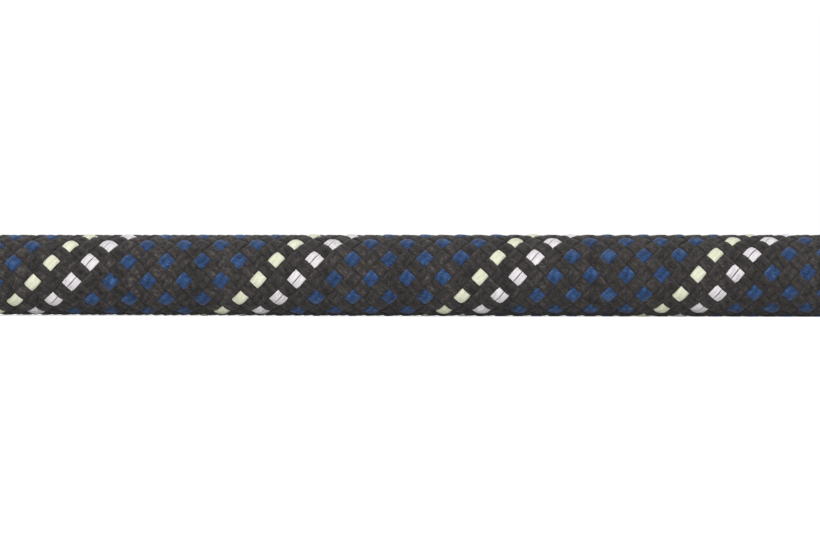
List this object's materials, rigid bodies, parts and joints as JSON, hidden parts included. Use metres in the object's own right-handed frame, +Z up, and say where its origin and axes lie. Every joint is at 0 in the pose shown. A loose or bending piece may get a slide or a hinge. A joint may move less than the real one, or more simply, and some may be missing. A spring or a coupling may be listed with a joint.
{
  "type": "climbing rope",
  "caption": "Dynamic kernmantle climbing rope: a straight stretch with hollow braided cover over core strands, the rest wound into a tied hank.",
  "frame": {"origin": "bottom centre of the whole, on the surface that the rope lies on", "axes": "+X along the straight stretch from its free end towards the hank, +Y across the hank, +Z up"},
  "size_m": [0.5323, 0.2104, 0.1362],
  "materials": {
    "cover_yarn": "black braided nylon cover with blue, cream and reflective white tracer yarns",
    "core_nylon": "undyed twisted nylon, soft sheen",
    "marker_tape": "thin plain polyester film",
    "end_sleeve": "heat-shrunk polyolefin",
    "melted_tip": "nylon melted and set, uneven gloss",
    "strap_webbing": "woven hook-and-loop strap"
  },
  "bodies": {
    "root": {"sheath_stretch": "cover_yarn", "marker_tape": "marker_tape", "free_end_sleeve": "end_sleeve", "free_end_tip": "melted_tip", "hank_outer_turns": "cover_yarn", "hank_core": "cover_yarn", "wound_end_sleeve": "end_sleeve", "wound_end_tip": "melted_tip", "tie_strap": "strap_webbing", "tie_hook_tab": "strap_webbing", "core_strand_inner_1": "core_nylon", "core_strand_inner_2": "core_nylon", "core_strand_inner_3": "core_nylon", "core_strand_outer_1": "core_nylon", "core_strand_outer_2": "core_nylon", "core_strand_outer_3": "core_nylon", "core_strand_outer_4": "core_nylon", "core_strand_outer_5": "core_nylon", "core_strand_outer_6": "core_nylon", "core_strand_outer_7": "core_nylon", "core_strand_outer_8": "core_nylon", "core_strand_outer_9": "core_nylon"}
  },
  "joints": []
}
